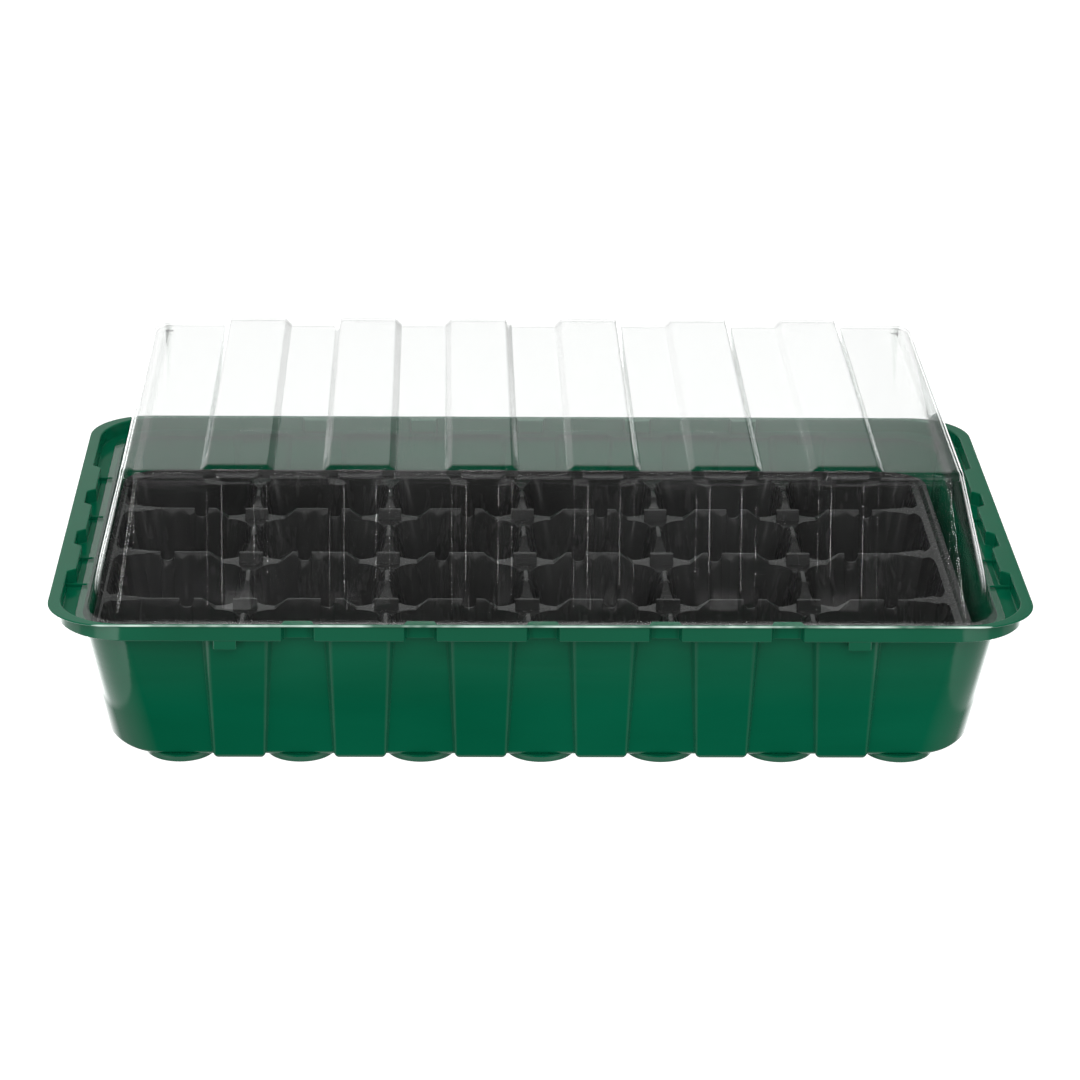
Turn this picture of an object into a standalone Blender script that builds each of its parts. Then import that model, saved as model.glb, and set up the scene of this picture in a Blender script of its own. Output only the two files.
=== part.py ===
"""Humidity dome tray: a green base tray, a black 24-cell insert and a clear dome.

All sizes below are in millimetres and are converted to metres when a mesh is made.
Frame: origin on the ground at the centre of the footprint, +X along the long side, +Y to the
back, +Z up. Each piece is one thin moulded shell, built as a stack of closed outlines.
"""

import math

import bmesh
import bpy

MM = 0.001
GAP = 0.3

# Overall tray
RIM_LENGTH = 380.0
RIM_WIDTH = 240.0
RIM_TOP = 62.0
RIM_CORNER = 25.0
TRAY_WALL = 1.0
LEDGE_TOP = 56.0
FLOOR_UNDER = 3.0
CORNER_STEPS = 6

# Tray wall, outer faces: value at the ledge, value at the floor
END_FACE = (178.0, 170.2)
PILASTER_FACE = (114.6, 109.6)
PILASTER_DEPTH = (3.5, 1.5)
PILASTER_HALF_WIDTH = (13.8, 10.6)
PILASTER_RAMP = (4.0, 1.8)
CORNER_ALONG_X = (20.0, 23.0)
CORNER_ALONG_Y = (22.0, 36.0)
CORNER_POWER = (2.0, 1.85)
FLOOR_FILLET = 2.0

# Repeats along the long sides and the ends
BAY = 46.65
PILASTERS = 6
FEET = 7
POCKETS = (-27.6, 18.6)

# Skirt between the ledge and the rim flange, inner faces
SKIRT_END = 185.2
SKIRT_SIDE = 118.0
SKIRT_CORNER = 26.0
SIDE_GAP_DEPTH = 2.2
END_GAP_DEPTH = 3.3
END_RAMP = 3.2
SIDE_NOTCH_HALF = 16.9
POCKET_HALF = 6.4
CORNER_POCKETS = (-64.6, 53.2)
SKIRT_RAMP = 1.4

# Feet and the tabs that hang under the skirt
FOOT_RADIUS = 14.6
FOOT_TAPER = 0.6
FOOT_Y = 95.0
TAB_X = 121.0
TAB_SIZE = (9.0, 5.6, 4.2)
TAB_OUTER_Y = 118.2

# Cell insert
SHEET = 0.8
INSERT_CENTRE_X = -4.5
COLUMNS = 6
ROWS = 4
CELL_PITCH_X = 56.1
CELL_PITCH_Y = 50.6
END_ROW = 0.77
INSERT_LEFT = 170.4
INSERT_RIGHT = 173.9
INSERT_HALF_Y = 104.6
INSERT_CORNER = 20.0
BORDER_TOP = 47.2
BORDER_STEP = 2.0
BORDER_MARGIN = 3.4
BORDER_FLAT = 0.4
WEB_TOP = 41.0
RIDGE_TOP = 45.0
RIDGE_FLAT_HALF = (11.2, 7.2)
RIDGE_HALF_WIDTH = 1.2
WEB_HALF_WIDTH = 2.3
CELL_CORNER = 9.4
CELL_FLOOR_TOP = 5.6
CELL_FLOOR_HALF = (18.4, 16.0)
CELL_FLOOR_CORNER = 9.0
DRAIN_RADIUS = 4.0
CROSSING_TAB = (9.8, 5.2, 45.0)

# Dome
DOME_SHEET = 0.8
LIP_END = 179.6
LIP_SIDE = 115.3
LIP_CORNER = 20.0
DOME_BASE = (175.2, 103.5, 15.0)
DOME_EDGE = (161.8, 93.3, 8.0)
ROOF = 114.0
ROOF_ROUND = 3.6
FLUTE_RISE = 2.5
FLUTE_WALL_HALF = (11.9, 6.2)
FLUTE_ROOF_HALF = (14.35, 11.15)
WALL_FOOT = 3.0
WALL_STEP = (0.6, 0.8)
FLUTE_START = 1.2


def between(pair, share):
    """Value a share of the way from the first number to the second."""
    return pair[0] + (pair[1] - pair[0]) * share


def corner_arc(centre, along_x, along_y, power, start, steps):
    """Points of one rounded corner, anticlockwise from the angle start."""
    points = []
    for step in range(1, steps):
        angle = start + math.pi / 2 * step / steps
        across = math.cos(angle)
        up = math.sin(angle)
        x = centre[0] + along_x * math.copysign(abs(across) ** (2 / power), across)
        y = centre[1] + along_y * math.copysign(abs(up) ** (2 / power), up)
        points.append((x, y))
    return points


def outline(half_x, half_y, corner, side, end):
    """A closed outline, anticlockwise from the front left.

    side and end list (position, outward offset) along a long side and along an end.
    """
    along_x, along_y, power = corner
    inner_x = half_x - along_x
    inner_y = half_y - along_y
    side_run = [(-inner_x, 0.0)] + side + [(inner_x, 0.0)]
    end_run = [(-inner_y, 0.0)] + end + [(inner_y, 0.0)]
    points = [(x, -half_y - out) for x, out in side_run]
    points += corner_arc((inner_x, -inner_y), along_x, along_y, power, -math.pi / 2, CORNER_STEPS)
    points += [(half_x + out, y) for y, out in end_run]
    points += corner_arc((inner_x, inner_y), along_x, along_y, power, 0.0, CORNER_STEPS)
    points += [(x, half_y + out) for x, out in reversed(side_run)]
    points += corner_arc((-inner_x, inner_y), along_x, along_y, power, math.pi / 2, CORNER_STEPS)
    points += [(-half_x - out, y) for y, out in reversed(end_run)]
    points += corner_arc((-inner_x, -inner_y), along_x, along_y, power, math.pi, CORNER_STEPS)
    return points


def centres(count, pitch):
    """Evenly spaced positions about zero."""
    return [(index - (count - 1) / 2) * pitch for index in range(count)]


def raised_bands(positions, half_width, ramp, rise):
    """Four points per band: foot, shoulder, shoulder, foot."""
    run = []
    for centre in positions:
        run.append((centre - half_width, 0.0))
        run.append((centre - half_width + ramp, rise))
        run.append((centre + half_width - ramp, rise))
        run.append((centre + half_width, 0.0))
    return run


def at_height(points, height):
    """The outline as 3-D points at one height."""
    return [(x, y, height) for x, y in points]


def new_material(name, colour, roughness, alpha=1.0):
    """A plastic finish."""
    material = bpy.data.materials.new(name)
    material.use_nodes = True
    shader = material.node_tree.nodes["Principled BSDF"]
    shader.inputs["Base Color"].default_value = (*colour, 1.0)
    shader.inputs["Roughness"].default_value = roughness
    shader.inputs["Metallic"].default_value = 0.0
    shader.inputs["Alpha"].default_value = alpha
    return material


def new_object(name, points, faces, material=None):
    """A mesh object from points in millimetres, with every face pointing out."""
    mesh = bpy.data.meshes.new(name)
    mesh.from_pydata([(x * MM, y * MM, z * MM) for x, y, z in points], [], faces)
    work = bmesh.new()
    work.from_mesh(mesh)
    bmesh.ops.recalc_face_normals(work, faces=work.faces)
    work.to_mesh(mesh)
    work.free()
    if material:
        mesh.materials.append(material)
        mesh.shade_smooth()
        mesh.set_sharp_from_angle(angle=math.radians(30))
    obj = bpy.data.objects.new(name, mesh)
    bpy.context.scene.collection.objects.link(obj)
    return obj


def stack_faces(ring_count, size, first=0):
    """Quads that join each ring of points to the next one."""
    faces = []
    for ring in range(ring_count - 1):
        low = first + ring * size
        for index in range(size):
            after = (index + 1) % size
            faces.append((low + index, low + after, low + size + after, low + size + index))
    return faces


def stack_object(name, rings, material):
    """A closed body from a stack of rings, with its first and last ring capped."""
    size = len(rings[0])
    points = [point for ring in rings for point in ring]
    faces = stack_faces(len(rings), size)
    faces.append(tuple(range(size)))
    faces.append(tuple(range(len(points) - size, len(points))))
    return new_object(name, points, faces, material)


def join_by_union(target, helpers):
    """Unites each hidden helper body with the target."""
    for helper in helpers:
        helper.hide_render = True
        helper.display_type = "WIRE"
        union = target.modifiers.new(helper.name, "BOOLEAN")
        union.operation = "UNION"
        union.solver = "EXACT"
        union.object = helper


def helper_box(name, low, high):
    """A helper box between two opposite corners."""
    corners = [(x, y, z) for x in (low[0], high[0]) for y in (low[1], high[1]) for z in (low[2], high[2])]
    faces = [(0, 1, 3, 2), (4, 6, 7, 5), (0, 4, 5, 1), (2, 3, 7, 6), (0, 2, 6, 4), (1, 5, 7, 3)]
    return new_object(name, corners, faces)


# Base tray


def wall_ring(height, inset):
    """The tray wall's outline at a height, moved in from its outer face by inset."""
    share = (LEDGE_TOP - height) / (LEDGE_TOP - FLOOR_UNDER)
    depth = between(PILASTER_DEPTH, share)
    half_width = between(PILASTER_HALF_WIDTH, share) - inset * 0.6
    ramp = between(PILASTER_RAMP, share)
    half_x = between(END_FACE, share) - inset
    half_y = between(PILASTER_FACE, share) - depth - inset
    corner = (
        between(CORNER_ALONG_X, share) - inset,
        between(CORNER_ALONG_Y, share) - inset,
        between(CORNER_POWER, share),
    )
    side = raised_bands(centres(PILASTERS, BAY), half_width, ramp, depth)
    end = end_run(0.0, half_y - corner[1])
    return at_height(outline(half_x, half_y, corner, side, end), height)


def end_run(gap, limit):
    """Offsets along an end: a corner pocket, the face between with two pockets, a corner pocket."""
    low = max(CORNER_POCKETS[0], -limit + END_RAMP)
    high = min(CORNER_POCKETS[1], limit - 2 * END_RAMP)
    run = [(low, 0.0), (low + END_RAMP, -gap)]
    for centre in POCKETS:
        run.append((centre - POCKET_HALF - END_RAMP, -gap))
        run.append((centre - POCKET_HALF, 0.0))
        run.append((centre + POCKET_HALF, 0.0))
        run.append((centre + POCKET_HALF + END_RAMP, -gap))
    run += [(high, -gap), (high + END_RAMP, 0.0)]
    return run


def skirt_ring(height, outset):
    """The notched skirt's outline, moved out from its inner face by outset."""
    side = []
    places = centres(PILASTERS, BAY)
    for centre in places:
        left = 0.0 if centre == places[0] else -SIDE_GAP_DEPTH
        right = 0.0 if centre == places[-1] else -SIDE_GAP_DEPTH
        side.append((centre - SIDE_NOTCH_HALF - SKIRT_RAMP, left))
        side.append((centre - SIDE_NOTCH_HALF, 0.0))
        side.append((centre + SIDE_NOTCH_HALF, 0.0))
        side.append((centre + SIDE_NOTCH_HALF + SKIRT_RAMP, right))
    corner = (SKIRT_CORNER + outset, SKIRT_CORNER + outset, 2.0)
    half_x = SKIRT_END + outset
    half_y = SKIRT_SIDE + outset
    end = end_run(END_GAP_DEPTH, half_y - corner[1])
    return at_height(outline(half_x, half_y, corner, side, end), height)


def rim_ring(height):
    """The flange's plain outer outline, with the same number of points as the skirt."""
    steps = raised_bands(centres(PILASTERS, BAY), SIDE_NOTCH_HALF, -SKIRT_RAMP, 0.0)
    side = sorted((x, 0.0) for x, out in steps)
    end = end_run(0.0, RIM_WIDTH / 2 - RIM_CORNER)
    corner = (RIM_CORNER, RIM_CORNER, 2.0)
    return at_height(outline(RIM_LENGTH / 2, RIM_WIDTH / 2, corner, side, end), height)


def fillet_rings(inset, height, radius):
    """Three rings that round the wall into a floor face at a height."""
    rings = []
    for degrees in (90, 60, 30):
        angle = math.radians(degrees)
        drop = radius * (1 - math.sin(angle))
        shift = radius * (1 - math.cos(angle))
        ring = wall_ring(height + drop, inset + shift)
        rings.append(ring)
    return rings


def make_base_tray():
    """Outside from the floor up to the flange, then down the inside to the floor."""
    rings = fillet_rings(0.0, FLOOR_UNDER, FLOOR_FILLET)
    rings.append(wall_ring(FLOOR_UNDER + FLOOR_FILLET, 0.0))
    rings.append(wall_ring(LEDGE_TOP - TRAY_WALL, 0.0))
    rings.append(skirt_ring(LEDGE_TOP - TRAY_WALL, TRAY_WALL))
    rings.append(skirt_ring(RIM_TOP - TRAY_WALL, TRAY_WALL))
    rings.append(rim_ring(RIM_TOP - TRAY_WALL))
    rings.append(rim_ring(RIM_TOP))
    rings.append(skirt_ring(RIM_TOP, 0.0))
    rings.append(skirt_ring(LEDGE_TOP, 0.0))
    rings.append(wall_ring(LEDGE_TOP, TRAY_WALL))
    rings.append(wall_ring(FLOOR_UNDER + TRAY_WALL + FLOOR_FILLET, TRAY_WALL))
    rings += reversed(fillet_rings(TRAY_WALL, FLOOR_UNDER + TRAY_WALL, FLOOR_FILLET))
    tray = stack_object("base_tray", rings, new_material("green_plastic", (0.012, 0.10, 0.045), 0.25))
    helpers = []
    for side in (-1, 1):
        for index, x in enumerate(centres(FEET, BAY)):
            helpers.append(helper_foot(f"foot_{side}_{index}", x, side * FOOT_Y))
        for x in (-TAB_X, TAB_X):
            helpers.append(helper_tab(f"tab_{side}_{x}", x, side))
    join_by_union(tray, helpers)
    return tray


def helper_foot(name, x, y):
    """A shallow round foot that stands on the ground and runs up into the floor."""
    top = FLOOR_UNDER + TRAY_WALL / 2
    rings = []
    for radius, height in ((FOOT_RADIUS - FOOT_TAPER, 0.0), (FOOT_RADIUS, top)):
        ring = []
        for index in range(24):
            angle = math.tau * index / 24
            ring.append((x + radius * math.cos(angle), y + radius * math.sin(angle), height))
        rings.append(ring)
    return stack_object(name, rings, None)


def helper_tab(name, x, side):
    """A small rectangular tab under the skirt."""
    width, depth, drop = TAB_SIZE
    high_z = LEDGE_TOP - TRAY_WALL / 2
    edges = sorted((side * TAB_OUTER_Y, side * (TAB_OUTER_Y - depth)))
    return helper_box(name, (x - width / 2, edges[0], high_z - drop), (x + width / 2, edges[1], high_z))


# Cell insert


def sign(value):
    """-1 or 1."""
    return math.copysign(1.0, value)


def block_sides():
    """Stations round one cell block, anticlockwise from the front left corner.

    Each is (side, position along it, share of a quarter turn into the corner's rounding).
    """
    half_x = CELL_PITCH_X / 2
    half_y = CELL_PITCH_Y / 2
    stations = []
    for side, half, flat, turn in (
        ("front", half_x, RIDGE_FLAT_HALF[0], 1),
        ("right", half_y, RIDGE_FLAT_HALF[1], 1),
        ("back", half_x, RIDGE_FLAT_HALF[0], -1),
        ("left", half_y, RIDGE_FLAT_HALF[1], -1),
    ):
        foot = half - CELL_CORNER - WEB_HALF_WIDTH
        middle = foot + CELL_CORNER * 0.45
        corner = ((-half, 0.5), (-middle, 0.25))
        places = (*corner, (-foot, 0), (-flat, 0), (flat, 0), (foot, 0), (middle, 0.25))
        stations += [(side, turn * place, share) for place, share in places]
    return stations


def block_point(side, place, half_x, half_y):
    """A point on the rectangle of half sides half_x and half_y."""
    if side == "front":
        return place, -half_y
    if side == "right":
        return half_x, place
    if side == "back":
        return place, half_y
    return -half_x, place


def rounded_point(station, block, half, radius):
    """The station's point on a rounded rectangle inside the block."""
    side, place, share = station
    x, y = block_point(side, place, *block)
    inner_x = half[0] - radius
    inner_y = half[1] - radius
    if share > 0:
        angle = math.pi / 2 * share
        near = radius * math.sin(angle)
        far = radius * math.cos(angle)
        if side in ("front", "back"):
            return sign(x) * (inner_x + near), sign(y) * (inner_y + far)
        return sign(x) * (inner_x + far), sign(y) * (inner_y + near)
    if side in ("front", "back"):
        return max(-inner_x, min(inner_x, x)), sign(y) * half[1]
    return sign(x) * half[0], max(-inner_y, min(inner_y, y))


def soften(x, y, margin=0.0):
    """Pulls a point near one of the insert's four outer corners back onto a round corner.

    margin is how far the round corner lies inside the insert's outer edge.
    """
    centre_x = (INSERT_RIGHT if x > 0 else INSERT_LEFT) - INSERT_CORNER
    centre_y = INSERT_HALF_Y - INSERT_CORNER
    over_x = abs(x) - centre_x
    over_y = abs(y) - centre_y
    if over_x <= 0 or over_y <= 0:
        return x, y
    reach = math.hypot(over_x, over_y) / (INSERT_CORNER - margin)
    if reach <= 1.0:
        return x, y
    return sign(x) * (centre_x + over_x / reach), sign(y) * (centre_y + over_y / reach)


def ridge_height(side, place, x, y, column, row):
    """Height of the sheet along a block's edge: it dips to the web round each inner crossing."""
    flat = RIDGE_FLAT_HALF[0] if side in ("front", "back") else RIDGE_FLAT_HALF[1]
    line_x = column + (x > 0)
    line_y = row + (y > 0)
    at_crossing = 0 < line_x < COLUMNS and 0 < line_y < ROWS
    if at_crossing and abs(place) > flat + 1e-6:
        return WEB_TOP
    return RIDGE_TOP


class Sheet:
    """Collects points and faces, joining points that share a place."""

    def __init__(self):
        self.points = []
        self.faces = []
        self.known = {}

    def point(self, x, y, z):
        """The index of a point, added if it is new."""
        key = (round(x, 4), round(y, 4), round(z, 4))
        if key not in self.known:
            self.known[key] = len(self.points)
            self.points.append((x, y, z))
        return self.known[key]

    def band(self, first, second):
        """Quads between two rings of the same size."""
        size = len(first)
        for index in range(size):
            after = (index + 1) % size
            self.faces.append((first[index], first[after], second[after], second[index]))


def cell_rings(sheet, column, row, under):
    """One cell's rings, from the block's edge down to the floor, on the top or the underside."""
    centre_x = (column - (COLUMNS - 1) / 2) * CELL_PITCH_X
    centre_y = (row - (ROWS - 1) / 2) * CELL_PITCH_Y
    block = (CELL_PITCH_X / 2, CELL_PITCH_Y / 2)
    thick = SHEET if under else 0.0
    edge = []
    mouth = []
    floor = []
    for station in block_sides():
        side, place = station[:2]
        x, y = block_point(side, place, *block)
        height = ridge_height(side, place, x, y, column, row)
        edge.append(sheet.point(*soften(centre_x + x, centre_y + y, BORDER_MARGIN), height - thick))
        wide = RIDGE_HALF_WIDTH if height == RIDGE_TOP else WEB_HALF_WIDTH
        half = (block[0] - wide + thick, block[1] - wide + thick)
        x, y = rounded_point(station, block, half, CELL_CORNER + thick)
        mouth.append(sheet.point(centre_x + x, centre_y + y, height - thick))
        half = (CELL_FLOOR_HALF[0] + thick, CELL_FLOOR_HALF[1] + thick)
        x, y = rounded_point(station, block, half, CELL_FLOOR_CORNER + thick)
        floor.append(sheet.point(centre_x + x, centre_y + y, CELL_FLOOR_TOP - thick))
    return edge, mouth, floor


def drain_ring(sheet, column, row, size, height):
    """The drain hole's edge, with as many points as the cell's rings."""
    centre_x = (column - (COLUMNS - 1) / 2) * CELL_PITCH_X
    centre_y = (row - (ROWS - 1) / 2) * CELL_PITCH_Y
    ring = []
    for index in range(size):
        angle = -3 * math.pi / 4 + math.tau * index / size
        x = centre_x + DRAIN_RADIUS * math.cos(angle)
        y = centre_y + DRAIN_RADIUS * math.sin(angle)
        ring.append(sheet.point(x, y, height))
    return ring


def border_rings(sheet, thick):
    """The grid's outer edge, the foot of the raised border, and the insert's outer edge."""
    grid = (CELL_PITCH_X * COLUMNS / 2, CELL_PITCH_Y * ROWS / 2)
    foot = []
    step = []
    outer = []
    for side, count, pitch, direction in (
        ("front", COLUMNS, CELL_PITCH_X, 1),
        ("right", ROWS, CELL_PITCH_Y, 1),
        ("back", COLUMNS, CELL_PITCH_X, -1),
        ("left", ROWS, CELL_PITCH_Y, -1),
    ):
        for index in range(count):
            centre = (index - (count - 1) / 2) * pitch * direction
            for name, place, share in block_sides():
                if name != side:
                    continue
                x, y = block_point(side, centre + place, *grid)
                edge_x = INSERT_RIGHT if x > 0 else INSERT_LEFT
                foot.append(sheet.point(*soften(x, y, BORDER_MARGIN), RIDGE_TOP - thick))
                far = (x * edge_x / grid[0], y * INSERT_HALF_Y / grid[1])
                inset = max(BORDER_FLAT, min(edge_x - grid[0], INSERT_HALF_Y - grid[1]) - BORDER_STEP)
                near = (x * (edge_x - inset) / grid[0], y * (INSERT_HALF_Y - inset) / grid[1])
                step.append(sheet.point(*soften(*near, inset), BORDER_TOP - thick))
                outer.append(sheet.point(*soften(*far), BORDER_TOP - thick))
    return foot, step, outer


def make_cell_insert():
    """The thermoformed sheet: top face, underside, drain holes and outer edge."""
    sheet = Sheet()
    for column in range(COLUMNS):
        for row in range(ROWS):
            drains = []
            for under in (False, True):
                edge, mouth, floor = cell_rings(sheet, column, row, under)
                height = CELL_FLOOR_TOP - (SHEET if under else 0.0)
                drain = drain_ring(sheet, column, row, len(floor), height)
                sheet.band(edge, mouth)
                sheet.band(mouth, floor)
                sheet.band(floor, drain)
                drains.append(drain)
            sheet.band(drains[0], drains[1])
    top = border_rings(sheet, 0.0)
    under = border_rings(sheet, SHEET)
    for foot, step, outer in (top, under):
        sheet.band(foot, step)
        sheet.band(step, outer)
    sheet.band(top[-1], under[-1])
    points = [(x + INSERT_CENTRE_X, shorten_rows(y), z) for x, y, z in sheet.points]
    tabs = []
    width, depth, top = CROSSING_TAB
    for x in centres(COLUMNS - 1, CELL_PITCH_X):
        for y in centres(ROWS - 1, CELL_PITCH_Y):
            low = (x + INSERT_CENTRE_X - width / 2, y - depth / 2, WEB_TOP - SHEET / 2)
            high = (x + INSERT_CENTRE_X + width / 2, y + depth / 2, top)
            tabs.append(helper_box(f"crossing_tab_{len(tabs)}", low, high))
    for column in range(COLUMNS):
        make_column(column, points, sheet.faces, tabs)


def shorten_rows(y):
    """The front and back rows of cells are shorter than the two between them."""
    beyond = max(0.0, abs(y) - CELL_PITCH_Y)
    return y - sign(y) * beyond * (1 - END_ROW)


def make_column(column, points, faces, tabs):
    """One column of four cells: the sheet's strip between two column ridges.

    The sheet is one moulding. It is held as six strips so that each solid stays simple.
    """
    number = column + 1
    material = new_material(f"black_sheet_{number}", (0.012, 0.012, 0.013), 0.3)
    strip = new_object(f"cell_insert_{number}", points, faces, material)
    join_by_union(strip, tabs)
    left = (column - COLUMNS / 2) * CELL_PITCH_X + INSERT_CENTRE_X + GAP / 2
    right = left + CELL_PITCH_X - GAP
    if column == 0:
        left = -RIM_LENGTH / 2
    if column == COLUMNS - 1:
        right = RIM_LENGTH / 2
    low = (left, -RIM_WIDTH / 2, -GAP)
    high = (right, RIM_WIDTH / 2, RIM_TOP)
    bounds = helper_box(f"column_{number}", low, high)
    bounds.hide_render = True
    bounds.display_type = "WIRE"
    keep = strip.modifiers.new(bounds.name, "BOOLEAN")
    keep.operation = "INTERSECT"
    keep.solver = "EXACT"
    keep.object = bounds


# Dome


def dome_ring(half_x, half_y, corner, height, widths, out, lift):
    """One outline of the dome, with its flutes pushed out and up."""
    side = raised_bands(centres(PILASTERS, BAY), widths[0], widths[0] - widths[1], 1.0)
    flat = [(x, 0.0) for x, share in side]
    points = outline(half_x, half_y, (corner, corner, 2.0), flat, [])
    shares = {}
    for x, share in side:
        shares[round(x, 4)] = share
    ring = []
    for x, y in points:
        on_side = abs(abs(y) - half_y) < 1e-6
        share = shares.get(round(x, 4), 0.0) if on_side else 0.0
        ring.append((x, y + math.copysign(out * share, y), height + lift * share))
    return ring


def dome_shell(inset):
    """Rings from the foot of the wall up to the roof's edge, moved in by inset."""
    base_x, base_y, base_corner = DOME_BASE
    edge_x, edge_y, edge_corner = DOME_EDGE
    foot = LEDGE_TOP + GAP + DOME_SHEET
    start = foot + WALL_FOOT
    rings = []
    for step, height, out in (
        (0.0, foot - inset, 0.0),
        (WALL_STEP[0], start, 0.0),
        (WALL_STEP[1], start + FLUTE_START, FLUTE_RISE),
    ):
        half_x = base_x - step - inset
        half_y = base_y - step - inset
        rings.append(dome_ring(half_x, half_y, base_corner, height, FLUTE_WALL_HALF, out, 0.0))
    for degrees in (0, 45, 90):
        angle = math.radians(degrees)
        shift = ROOF_ROUND * (1 - math.cos(angle))
        height = ROOF - ROOF_ROUND * (1 - math.sin(angle)) - inset
        share = degrees / 90
        widths = [between(pair, share) for pair in zip(FLUTE_WALL_HALF, FLUTE_ROOF_HALF)]
        out = FLUTE_RISE * math.cos(angle)
        lift = FLUTE_RISE * math.sin(angle)
        half_x = edge_x - shift - inset
        half_y = edge_y - shift - inset
        rings.append(dome_ring(half_x, half_y, edge_corner - shift, height, widths, out, lift))
    return rings


def roof_faces(first, size, side_count):
    """Faces that close the roof: strips that join the front edge to the back edge, and two ends."""
    front = list(range(side_count))
    back_start = size // 2
    back = [back_start + side_count - 1 - index for index in front]
    faces = []
    for index in front[:-1]:
        strip = (front[index], front[index + 1], back[index + 1], back[index])
        faces.append(tuple(first + corner for corner in strip))
    right = list(range(side_count - 1, back_start + 1))
    left = list(range(back_start + side_count - 1, size)) + [0]
    faces.append(tuple(first + index for index in right))
    faces.append(tuple(first + index for index in left))
    return faces


def make_dome():
    """The lip, the outer skin and the roof, then the inner skin."""
    lip_under = LEDGE_TOP + GAP
    lip_top = lip_under + DOME_SHEET
    outer = [
        dome_ring(LIP_END, LIP_SIDE, LIP_CORNER, lip_under, FLUTE_WALL_HALF, 0.0, 0.0),
        dome_ring(LIP_END, LIP_SIDE, LIP_CORNER, lip_top, FLUTE_WALL_HALF, 0.0, 0.0),
    ]
    outer += dome_shell(0.0)
    inner = list(reversed(dome_shell(DOME_SHEET)))
    size = len(outer[0])
    side_count = PILASTERS * 4 + 2
    points = [point for ring in outer + inner for point in ring]
    faces = stack_faces(len(outer), size)
    inner_first = len(outer) * size
    faces += stack_faces(len(inner), size, inner_first)
    faces += roof_faces((len(outer) - 1) * size, size, side_count)
    faces += roof_faces(inner_first, size, side_count)
    last = len(points) - size
    for index in range(size):
        after = (index + 1) % size
        faces.append((last + index, last + after, after, index))
    return new_object("dome", points, faces, new_material("clear_sheet", (0.93, 0.95, 0.95), 0.05, 0.3))


def main():
    """Builds the three pieces in an empty scene."""
    for obj in list(bpy.data.objects):
        bpy.data.objects.remove(obj, do_unlink=True)
    make_base_tray()
    make_cell_insert()
    make_dome()


main()
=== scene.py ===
"""Humidity dome tray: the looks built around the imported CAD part.

Sizes are in millimetres and become metres when a mesh is made. Each of the three pieces is a
fine shell that stands for one CAD node: the tray, the cell insert and the clear dome.
"""

import math

import bmesh
import bpy
import numpy as np
from mathutils import Matrix, Vector


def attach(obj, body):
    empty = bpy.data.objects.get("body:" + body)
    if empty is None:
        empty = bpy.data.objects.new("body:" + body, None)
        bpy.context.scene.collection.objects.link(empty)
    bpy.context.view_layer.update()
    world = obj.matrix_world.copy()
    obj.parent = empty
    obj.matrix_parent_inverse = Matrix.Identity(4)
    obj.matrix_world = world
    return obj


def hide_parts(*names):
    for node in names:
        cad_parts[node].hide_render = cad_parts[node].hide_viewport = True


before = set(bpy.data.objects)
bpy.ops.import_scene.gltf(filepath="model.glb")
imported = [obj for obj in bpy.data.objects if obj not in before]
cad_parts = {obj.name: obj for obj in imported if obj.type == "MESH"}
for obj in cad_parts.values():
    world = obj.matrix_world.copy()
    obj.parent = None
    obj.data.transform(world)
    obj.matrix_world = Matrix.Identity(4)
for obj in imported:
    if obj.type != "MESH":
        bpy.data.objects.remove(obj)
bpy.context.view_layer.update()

MM = 0.001
CAMERA_LEVEL = 1.2

# Tray
RIM_HALF = (190.0, 120.0)
RIM_TOP = 62.0
RIM_CORNER = 25.0
RIM_EDGE = 0.34
TRAY_WALL = 1.0
LEDGE_TOP = 56.0
FLOOR_UNDER = 3.0
CORNER_STEPS = 24
END_FACE = (178.0, 170.2)
PILASTER_FACE = (114.6, 109.6)
PILASTER_DEPTH = (3.5, 1.5)
PILASTER_HALF_WIDTH = (13.8, 10.6)
PILASTER_DROP = 1.0
CORNER_ALONG_X = (20.0, 24.5)
CORNER_ALONG_Y = (22.0, 38.0)
CORNER_POWER = 2.0
FLOOR_FILLET = 2.0
BAY = 46.65
PILASTERS = 6
FEET = 7
POCKETS = (-27.6, 18.6)
SKIRT_END = 185.2
SKIRT_SIDE = 118.0
SKIRT_CORNER = 26.0
SIDE_GAP_DEPTH = 3.4
END_GAP_DEPTH = 3.3
END_RAMP = 3.2
SIDE_NOTCH_HALF = 16.9
POCKET_HALF = 6.4
CORNER_POCKETS = (-64.6, 53.2)
SKIRT_RAMP = 1.4
FLANK_ANGLE = 62.0
SHOULDER_SIZE = 0.86
FOOT_SIZE = 0.16
FOOT_STEPS = 2
SHOULDER_STEPS = 5
RAMP_POINTS = FOOT_STEPS + SHOULDER_STEPS + 2
FLANGE = 0.7
FOOT_RADIUS = 14.6
FOOT_TAPER = 0.6
FOOT_Y = 95.0
TAB_X = 121.0
TAB_SIZE = (9.0, 5.6, 4.2)
TAB_OUTER_Y = 118.2
TAB_SHIFT = 0.5
TAB_ROUND = 0.6

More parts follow.
